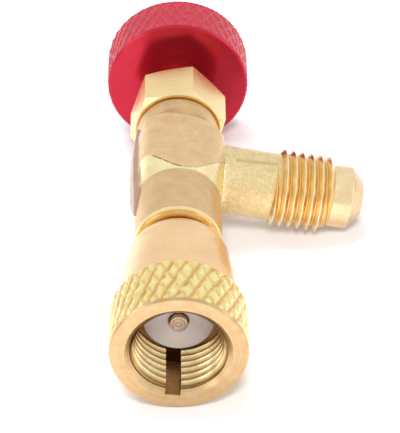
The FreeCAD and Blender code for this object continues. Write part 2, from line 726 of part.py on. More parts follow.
# Laid down: knob rim, nut rim and the side port's outer thread touch the floor
knob_edge = value("%s + dim.knob_chamfer" % knob_front)
nut_edge = value("dim.nut_chamfer")
lift = math.atan2(value("dim.knob_radius - dim.nut_radius"), knob_edge - nut_edge)
crossing_height = value("dim.nut_radius") * math.cos(lift) + (value("dim.crossing") - nut_edge) * math.sin(lift)
reach = value("dim.port_thread_end - dim.port_thread_chamfer")
port_radius = value("dim.port_thread_radius")
dip = math.asin(crossing_height / math.cos(lift) / math.hypot(reach, port_radius))
dip = dip - math.atan2(port_radius, reach)
turn = FreeCAD.Rotation(FreeCAD.Vector(1, 0, 0), math.degrees(lift))
turn = turn.multiply(FreeCAD.Rotation(FreeCAD.Vector(0, 1, 0), math.degrees(dip)))
start = turn.multVec(FreeCAD.Vector(0, -value("dim.crossing"), 0))
resting = FreeCAD.Placement(start + FreeCAD.Vector(0, 0, crossing_height), turn)
nut_spin = FreeCAD.Placement(FreeCAD.Vector(0, 0, 0),
                             FreeCAD.Rotation(FreeCAD.Vector(0, 1, 0), -value("dim.slot_turn")))


def placed(name, shape, place):
    spin = nut_spin if name == "coupling_nut" else FreeCAD.Placement()
    copy = shape.copy()
    copy.Placement = place.multiply(spin).multiply(shape.Placement)
    return copy


for feature in doc.Objects:
    if "Invalid" in feature.State or "Error" in feature.State:
        raise RuntimeError("failed object: " + feature.Name)
for name, feature in pieces.items():
    shape = feature.Shape
    if shape.isNull() or not shape.isValid() or len(shape.Solids) != 1:
        raise RuntimeError("bad shape: " + name)

whole = Part.makeCompound([placed(name, piece.Shape, resting) for name, piece in pieces.items()])
box = whole.optimalBoundingBox(True, False)
resting.Base = resting.Base - FreeCAD.Vector(box.Center.x, box.Center.y, box.ZMin)

os.makedirs("parts", exist_ok=True)
for name, feature in pieces.items():
    node = doc.addObject("Part::Feature", name)
    node.Label = name
    node.Shape = placed(name, feature.Shape, resting)
    node.Shape.exportStep("parts/%s.step" % name)
    print(name, "volume %.2f mm3" % node.Shape.Volume)
print("lift %.3f deg, dip %.3f deg" % (math.degrees(lift), math.degrees(dip)))
print("axes cross at", resting.multVec(FreeCAD.Vector(0, value("dim.crossing"), 0)))
print("box", whole.optimalBoundingBox(True, False))
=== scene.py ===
import bpy
import bmesh
import json
import math
from functools import partial
from mathutils import Matrix, Vector


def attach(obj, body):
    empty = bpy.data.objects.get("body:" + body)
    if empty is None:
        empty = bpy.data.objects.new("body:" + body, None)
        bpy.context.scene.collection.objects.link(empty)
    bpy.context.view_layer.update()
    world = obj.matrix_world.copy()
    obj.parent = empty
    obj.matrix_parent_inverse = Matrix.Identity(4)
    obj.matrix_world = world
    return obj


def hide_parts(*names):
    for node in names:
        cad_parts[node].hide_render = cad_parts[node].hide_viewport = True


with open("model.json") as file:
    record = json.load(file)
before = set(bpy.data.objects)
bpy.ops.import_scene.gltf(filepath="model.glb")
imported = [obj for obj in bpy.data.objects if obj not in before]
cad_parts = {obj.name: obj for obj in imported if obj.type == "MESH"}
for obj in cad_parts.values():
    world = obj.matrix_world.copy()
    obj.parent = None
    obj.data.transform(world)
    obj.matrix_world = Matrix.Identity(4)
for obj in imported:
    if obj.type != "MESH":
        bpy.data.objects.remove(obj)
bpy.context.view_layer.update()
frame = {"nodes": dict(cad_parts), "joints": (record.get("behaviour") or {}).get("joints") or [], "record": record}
nodes = frame["nodes"]

# The adapter's own axes: Y along the main axis to the knob, X along the side port
spin = [j for j in frame["joints"] if j["name"] == "nut_spin"][0]
flare = [m for m in frame["record"]["mounts"] if m["name"] == "flare_thread"][0]
mainAxis = Vector(spin["axis"]).normalized()
portAxis = Vector(flare["axis"])
portAxis = (portAxis - mainAxis * portAxis.dot(mainAxis)).normalized()
crossing = Vector(spin["pos_m"])
turn = Matrix((portAxis, mainAxis, portAxis.cross(mainAxis))).transposed()
inPlace = Matrix.Translation(crossing) @ turn.to_4x4() @ Matrix.Scale(0.001, 4)  # mm to the frame
ontoPort = inPlace @ Matrix.Rotation(-math.pi / 2, 4, "Z")  # what is drawn along Y lies along the port
pitch = 1.27  # of both threads, 20 turns per inch
tiny = 0.01  # keeps faces from lying in each other

# Edges of the forging's raw top, seen from above: along = start + bend * (across - side)^2
rawFront = {"start": -7.1, "bend": 0.125, "side": -0.2}
rawRear = {"start": 5.95, "bend": -0.05, "side": -0.8}


def edgeAt(edge, across):
    return edge["start"] + edge["bend"] * (across - edge["side"]) ** 2


# sRGB hex colour as linear values
def linear(hexColour):
    channels = [int(hexColour[i:i + 2], 16) / 255 for i in (1, 3, 5)]
    return [c / 12.92 if c <= 0.04045 else ((c + 0.055) / 1.055) ** 2.4 for c in channels] + [1.0]


# One node with its settings, and its inputs given as values or as sockets to link
def addNode(tree, kind, settings=None, inputs=None):
    node = tree.nodes.new(kind)
    for key, value in (settings or {}).items():
        setattr(node, key, value)
    for key, value in (inputs or {}).items():
        socket = node.inputs[key]
        if isinstance(value, bpy.types.NodeSocket):
            tree.links.new(value, socket)
        else:
            socket.default_value = value
    return node


def mathNode(tree, operation, *values, clamp=False):
    settings = {"operation": operation, "use_clamp": clamp}
    return addNode(tree, "ShaderNodeMath", settings, dict(enumerate(values))).outputs[0]


def meshObject(name, mesh, materials=()):
    thing = bpy.data.objects.new(name, mesh)
    bpy.context.scene.collection.objects.link(thing)
    for material in materials:
        mesh.materials.append(material)
    return thing


def faceOutwards(work):
    bmesh.ops.recalc_face_normals(work, faces=work.faces)
    if work.calc_volume(signed=True) < 0:
        bmesh.ops.reverse_faces(work, faces=work.faces)


def solidFrom(work, name, place):
    faceOutwards(work)
    mesh = bpy.data.meshes.new(name)
    work.to_mesh(mesh)
    work.free()
    mesh.transform(place)
    return meshObject(name, mesh)


# Points of an arc that bulges outwards from one (along, radius) corner to another, ends left out
def bowed(start, end, radius, steps):
    a, b = Vector(start), Vector(end)
    half = (b - a) / 2
    centre = a + half + Vector((half.y, -half.x)).normalized() * math.sqrt(radius ** 2 - half.length_squared)
    sweep = (a - centre).angle_signed(b - centre)
    return [tuple(centre + Matrix.Rotation(-sweep * k / steps, 2) @ (a - centre)) for k in range(1, steps)]


# Closed surface turned about Y from (along, radius) corners; a third number rounds the corner
def turned(name, corners, segments=192, place=inPlace):
    outline = []
    for i, corner in enumerate(corners):
        here = Vector(corner[:2])
        if len(corner) < 3:
            outline.append(here)
            continue
        before = (Vector(corners[i - 1][:2]) - here).normalized()
        after = (Vector(corners[(i + 1) % len(corners)][:2]) - here).normalized()
        half = before.angle(after) / 2
        centre = here + (before + after).normalized() * corner[2] / math.sin(half)
        reach = corner[2] / math.tan(half)
        start = here + before * reach - centre
        sweep = start.angle_signed(here + after * reach - centre)
        steps = max(3, int(abs(sweep) / math.radians(14)))
        for k in range(steps + 1):
            outline.append(centre + Matrix.Rotation(-sweep * k / steps, 2) @ start)
    work = bmesh.new()
    rings = []
    for along, radius in outline:
        if radius < 1e-6:
            rings.append([work.verts.new((0, along, 0))] * segments)
        else:
            rings.append([work.verts.new((radius * math.sin(a), along, radius * math.cos(a)))
                          for a in (2 * math.pi * k / segments for k in range(segments))])
    for i, low in enumerate(rings):
        high = rings[(i + 1) % len(rings)]
        for k in range(segments):
            loop = []
            for vert in (low[k], low[k - 1], high[k - 1], high[k]):
                if vert not in loop:
                    loop.append(vert)
            if len(loop) > 2:
                work.faces.new(loop)
    return solidFrom(work, name, place)


# Stepped rod: a bore's tool or a spigot, from its start over each (radius, end)
def rod(name, start, steps, place=inPlace):
    corners = [(start, 0)]
    for radius, end in steps:
        corners += [(start, radius), (end, radius)]
        start = end
    return turned(name, corners + [(start, 0)], segments=160, place=place)


def rectangle(left, front, right, rear):
    return [(left, front), (right, front), (right, rear), (left, rear)]


# Prism over (x, y) corners, from low to high along Z; other axes turn the whole of it
def prism(name, corners, low, high, place=inPlace, axis="Z"):
    work = bmesh.new()
    spots = [{"X": (z, x, y), "Y": (x, z, -y), "Z": (x, y, z)}[axis] for z in (low, high) for x, y in corners]
    verts = [work.verts.new(spot) for spot in spots]
    bottom, top = verts[:len(corners)], verts[len(corners):]
    work.faces.new(bottom)
    work.faces.new(top)
    for k in range(len(corners)):
        work.faces.new((bottom[k - 1], bottom[k], top[k], top[k - 1]))
    return solidFrom(work, name, place)


# The evaluated object as a plain mesh, its modifiers gone
def baked(thing):
    seen = thing.evaluated_get(bpy.context.evaluated_depsgraph_get())
    mesh = bpy.data.meshes.new_from_object(seen)
    thing.modifiers.clear()
    old = thing.data
    thing.data = mesh
    bpy.data.meshes.remove(old)
    return thing


def combine(thing, other, operation):
    cut = thing.modifiers.new("combine", "BOOLEAN")
    cut.operation = operation
    cut.solver = "MANIFOLD"
    cut.object = other
    baked(thing)
    bpy.data.objects.remove(other, do_unlink=True)


def joined(name, things):
    with bpy.context.temp_override(active_object=things[0], object=things[0], selected_objects=things,
                                   selected_editable_objects=things):
        bpy.ops.object.join()
    things[0].name = name
    return things[0]


def smoothByAngle(thing, degrees=32):
    thing.data.shade_smooth()
    thing.data.set_sharp_from_angle(angle=math.radians(degrees))


# Normals that keep milled flats flat up to their small bevels
def flatShaded(thing):
    smoothByAngle(thing, 35)
    weigh = thing.modifiers.new("weigh", "WEIGHTED_NORMAL")
    weigh.keep_sharp = True
    weigh.weight = 90
    baked(thing)


# Where there are several materials, choose gives a face's own from (across, along, up) of its middle
def painted(thing, *materials, choose=None, place=inPlace):
    thing.data.materials.clear()
    for material in materials:
        thing.data.materials.append(material)
    home = place.inverted()
    for face in thing.data.polygons:
        face.material_index = materials.index(choose(*(home @ face.center))) if choose else 0
    return thing


# Bevel only the edges sharper than the angle
def softened(thing, width, segments, degrees):
    edge = thing.modifiers.new("softened", "BEVEL")
    edge.width = width * 0.001
    edge.segments = segments
    edge.limit_method = "ANGLE"
    edge.angle_limit = math.radians(degrees)
    baked(thing)


def nodeGroup(name, sizes):
    tree = bpy.data.node_groups.new(name, "GeometryNodeTree")
    tree.interface.new_socket("Geometry", in_out="INPUT", socket_type="NodeSocketGeometry")
    for label, size in sizes.items():
        kind = "NodeSocketInt" if isinstance(size, int) else "NodeSocketFloat"
        socket = tree.interface.new_socket(label, in_out="INPUT", socket_type=kind)
        socket.default_value = size
    tree.interface.new_socket("Material", in_out="INPUT", socket_type="NodeSocketMaterial")
    tree.interface.new_socket("Geometry", in_out="OUTPUT", socket_type="NodeSocketGeometry")
    return tree, addNode(tree, "NodeGroupInput")


def roundAxis(tree, radius, angle, along):
    x = mathNode(tree, "MULTIPLY", radius, mathNode(tree, "SINE", angle))
    z = mathNode(tree, "MULTIPLY", radius, mathNode(tree, "COSINE", angle))
    return addNode(tree, "ShaderNodeCombineXYZ", None, {"X": x, "Y": along, "Z": z}).outputs[0]


# Last steps of both trees: move the points, close the seams, realize, set the material
def closeTree(tree, given, grid, place):
    moved = addNode(tree, "GeometryNodeSetPosition", None, {"Geometry": grid.outputs["Mesh"], "Position": place})
    merged = addNode(tree, "GeometryNodeMergeByDistance", None,
                     {"Geometry": moved.outputs[0], "Distance": 0.0005})
    real = addNode(tree, "GeometryNodeRealizeInstances", None, {"Geometry": merged.outputs[0]})
    coated = addNode(tree, "GeometryNodeSetMaterial", None,
                     {"Geometry": real.outputs[0], "Material": given.outputs["Material"]})
    addNode(tree, "NodeGroupOutput", None, {"Geometry": coated.outputs[0]})
    return tree


# How far each grid point lies across and along the grid, 0 to 1
def gridShares(tree):
    where = addNode(tree, "GeometryNodeInputPosition")
    split = addNode(tree, "ShaderNodeSeparateXYZ", None, {0: where.outputs[0]})
    return mathNode(tree, "ADD", split.outputs[0], 0.5), mathNode(tree, "ADD", split.outputs[1], 0.5)


def blendedNumber(tree, factor, first, second):
    return addNode(tree, "ShaderNodeMix", {"data_type": "FLOAT"},
                   {"Factor": factor, "A": first, "B": second}).outputs[0]


# Diamond knurl: rows and columns count the grid, the lattice has its own pitch and phase;
# its lines are cut in, or raised where Ridged is 1, the second family fainter than the first
def knurlTree():
    sizes = {"Radius": 9.0, "Start": 0.0, "Length": 8.0, "Around": 31, "Steps": 8, "Rows": 32, "Row pitch": 2.0,
             "Peak at": 0.0, "Peak angle": 0.0, "Depth": 0.3, "Line": 0.5, "Second": 0.6, "Chamfer": 0.25,
             "Wall": 8.3, "Ridged": 0.0, "Uneven": 0.3, "Patch": 1.2, "Seed": 3.0}
    tree, given = nodeGroup("diamondKnurl", sizes)
    g = given.outputs
    calc = partial(mathNode, tree)
    columns = calc("ADD", calc("MULTIPLY", calc("MULTIPLY", g["Around"], 2), g["Steps"]), 1)
    grid = addNode(tree, "GeometryNodeMeshGrid", None,
                   {"Size X": 1.0, "Size Y": 1.0, "Vertices X": columns, "Vertices Y": calc("ADD", g["Rows"], 4)})
    u, v = gridShares(tree)
    row = calc("ROUND", calc("MULTIPLY", v, calc("ADD", g["Rows"], 3)))
    share = calc("DIVIDE", calc("SUBTRACT", row, 1), g["Rows"], clamp=True)
    share = calc("MULTIPLY", share, calc("LESS_THAN", row, calc("ADD", g["Rows"], 2.5)))
    inner = calc("MAXIMUM", calc("LESS_THAN", row, 0.5), calc("GREATER_THAN", row, calc("ADD", g["Rows"], 1.5)))
    angle = calc("MULTIPLY", u, 2 * math.pi)
    along = calc("MULTIPLY", share, g["Length"])
    p = calc("MULTIPLY", calc("SUBTRACT", u, calc("DIVIDE", g["Peak angle"], 360)), g["Around"])
    q = calc("DIVIDE", calc("SUBTRACT", along, g["Peak at"]), calc("MULTIPLY", g["Row pitch"], 2))
    rolled = addNode(tree, "ShaderNodeTexNoise", {"noise_dimensions": "4D"},
                     {"Vector": roundAxis(tree, g["Radius"], angle, along), "W": g["Seed"],
                      "Scale": calc("DIVIDE", 1, g["Patch"]), "Detail": 1.0})
    uneven = calc("MULTIPLY", calc("SUBTRACT", rolled.outputs[0], 0.5), g["Uneven"])
    p = calc("ADD", p, uneven)
    left = calc("PINGPONG", calc("ADD", calc("ADD", p, q), 64), 0.5)
    right = calc("PINGPONG", calc("ADD", calc("SUBTRACT", p, q), 64), 0.5)
    lines = []
    for family in (left, right):
        off = blendedNumber(tree, g["Ridged"], calc("SUBTRACT", 0.5, family), family)
        lines.append(calc("SUBTRACT", 1, calc("DIVIDE", calc("MULTIPLY", off, 2), g["Line"], clamp=True)))
    line = calc("MAXIMUM", lines[1], calc("MULTIPLY", lines[0], g["Second"]))
    height = blendedNumber(tree, g["Ridged"], calc("SUBTRACT", 1, line), line)
    fromEnd = calc("MINIMUM", along, calc("SUBTRACT", g["Length"], along))
    cone = calc("ADD", calc("SUBTRACT", g["Radius"], g["Chamfer"]), fromEnd)
    cut = calc("MULTIPLY", g["Depth"], calc("SUBTRACT", 1, calc("MULTIPLY", uneven, 2)))
    tops = calc("SUBTRACT", g["Radius"], calc("MULTIPLY", cut, calc("SUBTRACT", 1, height)))
    outer = calc("MINIMUM", tops, cone)
    radius = calc("ADD", calc("MULTIPLY", outer, calc("SUBTRACT", 1, inner)), calc("MULTIPLY", g["Wall"], inner))
    return closeTree(tree, given, grid, roundAxis(tree, radius, angle, calc("ADD", g["Start"], along)))


# Thread: a ridge with sloping flanks, wound round the axis and run out at both ends
def threadTree():
    sizes = {"Wall": 4.75, "Start": 0.0, "Pitch": 1.27, "Turns": 5.0, "Height": 0.75, "Flat": 0.16,
             "Base": 1.14, "Embed": 0.05, "Run out": 0.4, "Per turn": 96, "Across": 16, "Outward": 1.0}
    tree, given = nodeGroup("helicalThread", sizes)
    g = given.outputs
    calc = partial(mathNode, tree)
    columns = calc("ADD", calc("CEIL", calc("MULTIPLY", g["Turns"], g["Per turn"])), 1)
    grid = addNode(tree, "GeometryNodeMeshGrid", None,
                   {"Size X": 1.0, "Size Y": 1.0, "Vertices X": columns,
                    "Vertices Y": calc("ADD", g["Across"], 2)})
    u, v = gridShares(tree)
    row = calc("ROUND", calc("MULTIPLY", v, calc("ADD", g["Across"], 1)))
    closing = calc("GREATER_THAN", row, calc("ADD", g["Across"], 0.5))
    row = calc("MULTIPLY", row, calc("SUBTRACT", 1, closing))
    across = calc("SUBTRACT", calc("MULTIPLY", calc("DIVIDE", row, g["Across"]), 2), 1)
    fromEnd = calc("MULTIPLY", calc("MINIMUM", u, calc("SUBTRACT", 1, u)), g["Turns"])
    taper = calc("DIVIDE", fromEnd, g["Run out"], clamp=True)
    halfBase = calc("MULTIPLY", g["Base"], 0.5)
    halfFlat = calc("MULTIPLY", g["Flat"], 0.5)
    off = calc("MULTIPLY", across, halfBase)
    rise = calc("DIVIDE", calc("SUBTRACT", halfBase, calc("ABSOLUTE", off)),
                calc("SUBTRACT", halfBase, halfFlat), clamp=True)
    lift = calc("SUBTRACT", calc("MULTIPLY", calc("MULTIPLY", rise, g["Height"]), taper), g["Embed"])
    radius = calc("ADD", g["Wall"], calc("MULTIPLY", lift, g["Outward"]))
    turns = calc("MULTIPLY", u, g["Turns"])
    angle = calc("MULTIPLY", turns, 2 * math.pi)
    along = calc("ADD", calc("MULTIPLY", turns, g["Pitch"]), calc("MULTIPLY", off, taper))
    return closeTree(tree, given, grid, roundAxis(tree, radius, angle, calc("ADD", g["Start"], along)))


knurlNodes = knurlTree()
threadNodes = threadTree()


# Geometry of one of the two trees, baked into a piece
def grown(name, tree, sizes, material, place=inPlace):
    thing = meshObject(name, bpy.data.meshes.new(name))
    modifier = thing.modifiers.new(name, "NODES")
    modifier.node_group = tree
    values = {**sizes, "Material": material}
    for item in tree.interface.items_tree:
        if item.in_out == "INPUT" and item.name in values:
            modifier[item.identifier] = values[item.name]
    baked(thing)
    work = bmesh.new()
    work.from_mesh(thing.data)
    faceOutwards(work)
    work.to_mesh(thing.data)
    work.free()
    thing.data.transform(place)
    return thing


# Object coordinates turned to the adapter's own axes, in mm
def ownAxes(tree, place=inPlace):
    spot, rotation, _ = place.decompose()
    where = addNode(tree, "ShaderNodeTexCoord")
    return addNode(tree, "ShaderNodeMapping", {"vector_type": "TEXTURE"},
                   {"Vector": where.outputs["Object"], "Location": spot, "Rotation": rotation.to_euler("XYZ"),
                    "Scale": (0.001, 0.001, 0.001)}).outputs[0]


# Distance from the turning axis, place along it and place across it
def axisSpot(tree, own):
    split = addNode(tree, "ShaderNodeSeparateXYZ", None, {0: own}).outputs
    square = mathNode(tree, "ADD", mathNode(tree, "MULTIPLY", split[0], split[0]),
                      mathNode(tree, "MULTIPLY", split[2], split[2]))
    return mathNode(tree, "SQRT", square), split[1], split[0]


def blended(tree, factor, first, second, kind="MIX"):
    return addNode(tree, "ShaderNodeMix", {"data_type": "RGBA", "blend_type": kind},
                   {"Factor": factor, "A": first, "B": second}).outputs["Result"]


def remapped(tree, value, fromMin, fromMax, toMin=0.0, toMax=1.0):
    return addNode(tree, "ShaderNodeMapRange", None,
                   {"Value": value, "From Min": fromMin, "From Max": fromMax, "To Min": toMin,
                    "To Max": toMax}).outputs[0]


def noise(tree, where, scale, detail, roughness=0.5):
    return addNode(tree, "ShaderNodeTexNoise", None,
                   {"Vector": where, "Scale": scale, "Detail": detail, "Roughness": roughness}).outputs["Fac"]


def bump(tree, height, strength, distance, under=None):
    inputs = {"Height": height, "Strength": strength, "Distance": distance}
    if under:
        inputs["Normal"] = under
    return addNode(tree, "ShaderNodeBump", None, inputs).outputs[0]


def newMaterial(name):
    material = bpy.data.materials.new(name)
    material.use_nodes = True
    material.node_tree.nodes.clear()
    return material, material.node_tree


def surfaced(material, tree, inputs):
    shader = addNode(tree, "ShaderNodeBsdfPrincipled", None, inputs)
    addNode(tree, "ShaderNodeOutputMaterial", None, {"Surface": shader.outputs[0]})
    return material


# What a metal has unless its own look says otherwise: rings are tool marks, grain is fine relief
plainMetal = {"ringSpacing": 0.5, "ringDepth": 0.0, "ringTint": 0.0, "grainSize": 0.3, "grainDepth": 0.1,
              "grainTint": 0.05, "metallic": 1.0, "marksAndShadeLines": []}


# Tool marks run round the axis, stains lie over them. Relief tints grooves and crests by their
# distance from the axis: on threads and knurls a painted shade in the grooves and a painted highlight
# on the crests, on the knob real wear. A dark line follows the formula of the raw top's edges: painted
# shade along the forging's steps, a real line of specks on the neck
def metal(name, look, place=inPlace):
    look = {**plainMetal, **look}
    material, tree = newMaterial(name)
    calc = partial(mathNode, tree)
    own = ownAxes(tree, place)
    radius, along, across = axisSpot(tree, own)
    rings = addNode(tree, "ShaderNodeCombineXYZ", None,
                    {"X": calc("MULTIPLY", radius, 1 / look["ringSpacing"]),
                     "Y": calc("MULTIPLY", along, 1 / look["ringSpacing"])})
    ring = noise(tree, rings.outputs[0], 1.0, 2.0, 0.6)
    grain = noise(tree, own, 1 / look["grainSize"], 3.0, 0.65)
    stain = noise(tree, own, 1 / look["stainSize"], 4.0, 0.6)
    tint = blended(tree, remapped(tree, stain, 0.35, 0.65), linear(look["shade"]), linear(look["colour"]))
    # Relief: painted shade in grooves and painted highlight on crests, except the knob's real wear
    if "relief" in look:
        relief = look["relief"]
        height = remapped(tree, radius, relief["low"], relief["high"])
        flank = calc("SUBTRACT", 1, calc("MULTIPLY", height, relief["sharp"], clamp=True))
        tint = blended(tree, flank, tint, linear(relief["groove"]))
        crestWearAndHighlight = calc("MULTIPLY", calc("POWER", height, relief["edge"]),
                    remapped(tree, stain, 0.35, 0.6, relief["least"], relief["most"]))
        tint = blended(tree, crestWearAndHighlight, tint, linear(relief["crest"]))
    # Dark lines: painted shade along the forging's steps, a real line of specks on the neck
    for darkLine in look["marksAndShadeLines"]:
        off = calc("SUBTRACT", across, darkLine["side"])
        line = calc("ADD", calc("MULTIPLY", calc("MULTIPLY", off, off), darkLine["bend"]), darkLine["start"])
        gap = calc("ABSOLUTE", calc("SUBTRACT", along, line))
        span = calc("MULTIPLY", calc("GREATER_THAN", across, darkLine["from"]), calc("LESS_THAN", across, darkLine["to"]))
        dark = calc("MULTIPLY", remapped(tree, gap, darkLine["width"], 0.3 * darkLine["width"], 0, darkLine["dark"]),
                    remapped(tree, stain, 0.35, 0.5, 0.3, 1.0))
        tint = blended(tree, calc("MULTIPLY", dark, span), tint, linear(darkLine["colour"]))
    tint = blended(tree, look["ringTint"], tint, remapped(tree, ring, 0.2, 0.8), "MULTIPLY")
    tint = blended(tree, look["grainTint"], tint, remapped(tree, grain, 0.3, 0.7), "MULTIPLY")
    ringBump = bump(tree, ring, look["ringDepth"], 0.00004)
    return surfaced(material, tree, {
        "Base Color": tint, "Metallic": look["metallic"],
        "Roughness": remapped(tree, ring, 0.2, 0.8, look["roughness"] - 0.05, look["roughness"] + 0.07),
        "Normal": bump(tree, grain, look["grainDepth"], 0.00006, ringBump)})


# Turned brass, satin from the lathe tool: warm, pale, with rings that show as soft lines
turnedBrass = metal("turnedBrass", {
    "colour": "#FFDBAB", "shade": "#F8CF9B", "roughness": 0.28, "ringSpacing": 0.14, "ringDepth": 0.35,
    "ringTint": 0.12, "grainDepth": 0.05, "grainTint": 0.04, "stainSize": 4.0})
# Milled and polished brass of the packing nut: yellower and smoother
polishedBrass = metal("polishedBrass", {
    "colour": "#FFEAAE", "shade": "#FCE2A6", "roughness": 0.3, "ringSpacing": 0.3, "ringDepth": 0.15,
    "ringTint": 0.1, "grainSize": 0.4, "grainDepth": 0.08, "stainSize": 3.0})
# Front barrel of the body: turned over the forging, duller than the nut
barrelBrass = metal("barrelBrass", {
    "colour": "#F5D3A0", "shade": "#EBC592", "roughness": 0.36, "ringSpacing": 0.22, "ringDepth": 0.5,
    "ringTint": 0.2, "grainSize": 0.12, "grainDepth": 0.25, "grainTint": 0.22, "stainSize": 2.0})
# Hot-forged brass, shot-blasted: sandy, dimples drawn about 0.2 mm across so that they show
forgedBrass = metal("forgedBrass", {
    "colour": "#FFDFAE", "shade": "#F4CF9C", "roughness": 0.4, "grainSize": 0.13, "grainDepth": 0.9,
    "grainTint": 0.34, "stainSize": 1.8,
    # These dark lines are painted shade along the steps at the raw top's edges
    "marksAndShadeLines": [{**rawFront, "from": -4.6, "to": -0.6, "width": 0.12, "dark": 0.9, "colour": "#5A3A14"},
               {**rawFront, "from": -0.6, "to": 5.9, "width": 0.09, "dark": 0.45, "colour": "#8A6230"},
               {**rawRear, "from": -4.6, "to": 3.9, "width": 0.08, "dark": 0.8, "colour": "#6E4A20"}]})
# Forged faces that were rubbed in the trimming die: smoother, brighter and yellower
trimmedBrass = metal("trimmedBrass", {
    "colour": "#FFF4C4", "shade": "#FBE4AC", "roughness": 0.26, "grainSize": 0.18, "grainDepth": 0.35,
    "grainTint": 0.2, "stainSize": 1.2})
# The long land that the die's parting left: rubbed smooth; its darker pink tone is painted shade and reflection on
# the left side
landShadeBrass = metal("landShadeBrass", {
    "colour": "#CDB4A2", "shade": "#BFA692", "roughness": 0.4, "grainSize": 0.2, "grainDepth": 0.5,
    "grainTint": 0.1, "stainSize": 1.5})
# Faced with the lathe at the nut's mouth: rings stand out on it; darker than turned brass as painted shade
facedShadeBrass = metal("facedShadeBrass", {
    "colour": "#ECCB9A", "shade": "#E0BC88", "roughness": 0.3, "ringSpacing": 0.3, "ringDepth": 0.4,
    "ringTint": 0.3, "grainTint": 0.06, "stainSize": 1.5})
# Painted shade: darker brass for the milled vent slot and for turned faces that lie in gaps between parts
gapShadeBrass = metal("gapShadeBrass", {
    "colour": "#E2B57E", "shade": "#CF9E6A", "roughness": 0.4, "ringSpacing": 0.3, "ringDepth": 0.3,
    "ringTint": 0.2, "grainSize": 0.2, "grainDepth": 0.3, "grainTint": 0.2, "stainSize": 0.8})
# Pocket behind the slot's end: painted shade, darker still than the slot, and duller
pocketShadeBrass = metal("pocketShadeBrass", {
    "colour": "#AC7C4C", "shade": "#8C6036", "roughness": 0.5, "ringSpacing": 0.3, "ringDepth": 0.3,
    "ringTint": 0.2, "grainSize": 0.2, "grainDepth": 0.3, "grainTint": 0.2, "stainSize": 0.8})
# Tip of the pin: fine rings from the lathe tool, worn pale grey by valve cores
pinBrass = metal("pinBrass", {
    "colour": "#E4CBB0", "shade": "#D2B496", "roughness": 0.25, "ringSpacing": 0.3, "ringDepth": 0.5,
    "ringTint": 0.35, "grainTint": 0.1, "stainSize": 1.0})
# Narrow turned rings at the packing nut's foot and the barrel's rim: amber, painted shade and dark reflection
ringShadeBrass = metal("ringShadeBrass", {
    "colour": "#E6B76E", "shade": "#D8A45A", "roughness": 0.25, "ringSpacing": 0.2, "ringDepth": 0.2,
    "ringTint": 0.1, "stainSize": 1.5})
# Neck of the port: forged, its grain coarser and its dimples shinier
neckBrass = metal("neckBrass", {
    "colour": "#FFF2BC", "shade": "#FAD69A", "roughness": 0.3, "grainSize": 0.1, "grainDepth": 0.9,
    "grainTint": 0.36, "stainSize": 0.5,
    "marksAndShadeLines": [{"start": -1.48, "bend": 0.004, "side": 4.0, "from": 7.4, "to": 13.4, "width": 0.4,
                "dark": 0.3, "colour": "#8A6A38"}]})
# Nose of the port: turned and polished for the flare seat
noseBrass = metal("noseBrass", {
    "colour": "#F6DEB0", "shade": "#EACD9C", "roughness": 0.2, "ringSpacing": 0.18, "ringDepth": 0.12,
    "ringTint": 0.06, "grainDepth": 0.03, "grainTint": 0.03, "stainSize": 2.5}, ontoPort)
# Flare seat at its tip: duller, and darker and a little pinker than the nose as painted shade on the cone
seatShadeBrass = metal("seatShadeBrass", {
    "colour": "#EBCBA4", "shade": "#DDB992", "roughness": 0.28, "ringSpacing": 0.18, "ringDepth": 0.3,
    "ringTint": 0.15, "grainDepth": 0.05, "stainSize": 2.0}, ontoPort)
# Thread of the port: gold flanks, a painted shade in the grooves and a painted highlight on the pale crests
portThreadBrass = metal("portThreadBrass", {
    "colour": "#FBDFA6", "shade": "#F0CE90", "roughness": 0.24, "ringSpacing": 0.3, "ringDepth": 0.1,
    "ringTint": 0.05, "grainTint": 0.06, "stainSize": 1.5,
    "relief": {"low": 4.75, "high": 5.5, "sharp": 3.0, "edge": 4.0, "least": 0.7, "most": 1.0,
               "groove": "#E9C17E", "crest": "#FFEFCF"}}, ontoPort)
# Thread inside the nut: painted shade brown in its grooves, painted highlight bright along its crests
nutThreadBrass = metal("nutThreadBrass", {
    "colour": "#F6D696", "shade": "#E0B872", "roughness": 0.2, "ringSpacing": 0.2, "ringDepth": 0.2,
    "ringTint": 0.1, "grainSize": 0.5, "stainSize": 2.0,
    "relief": {"low": 6.35, "high": 5.7, "sharp": 1.3, "edge": 2.5, "least": 0.6, "most": 1.0,
               "groove": "#744A1C", "crest": "#FFF2C6"}})
# Rolled knurl of the swivel nut: painted highlight on the leaf-shaped crests, painted shade in the lines between them
knurledBrass = metal("knurledBrass", {
    "colour": "#FFE6A0", "shade": "#F8D488", "roughness": 0.27, "ringSpacing": 0.4, "ringDepth": 0.1,
    "ringTint": 0.05, "grainSize": 0.35, "grainDepth": 0.5, "grainTint": 0.12, "stainSize": 1.1,
    "relief": {"low": 8.86, "high": 9.12, "sharp": 1.8, "edge": 1.5, "least": 0.4, "most": 1.0,
               "groove": "#DCB062", "crest": "#FFF7B6"}})
# Red anodised aluminium, the colour rubbed through to grey metal on the raised lines
knurledRed = metal("knurledRedAluminium", {
    "colour": "#D44051", "shade": "#BA3142", "roughness": 0.36, "ringSpacing": 0.4, "ringDepth": 0.05,
    "ringTint": 0.05, "grainDepth": 0.2, "grainTint": 0.08, "stainSize": 0.5, "metallic": 0.85,
    "relief": {"low": 10.24, "high": 10.4, "sharp": 3.0, "edge": 1.6, "least": 0.0, "most": 0.75,
               "groove": "#D43E4D", "crest": "#B47A83"}})
# Zinc-plated steel: cool grey, slightly clouded
zincSteel = metal("zincPlatedSteel", {
    "colour": "#C9CCCF", "shade": "#B4B9BE", "roughness": 0.3, "ringSpacing": 0.2, "ringDepth": 0.15,
    "ringTint": 0.1, "grainTint": 0.06, "stainSize": 1.2})


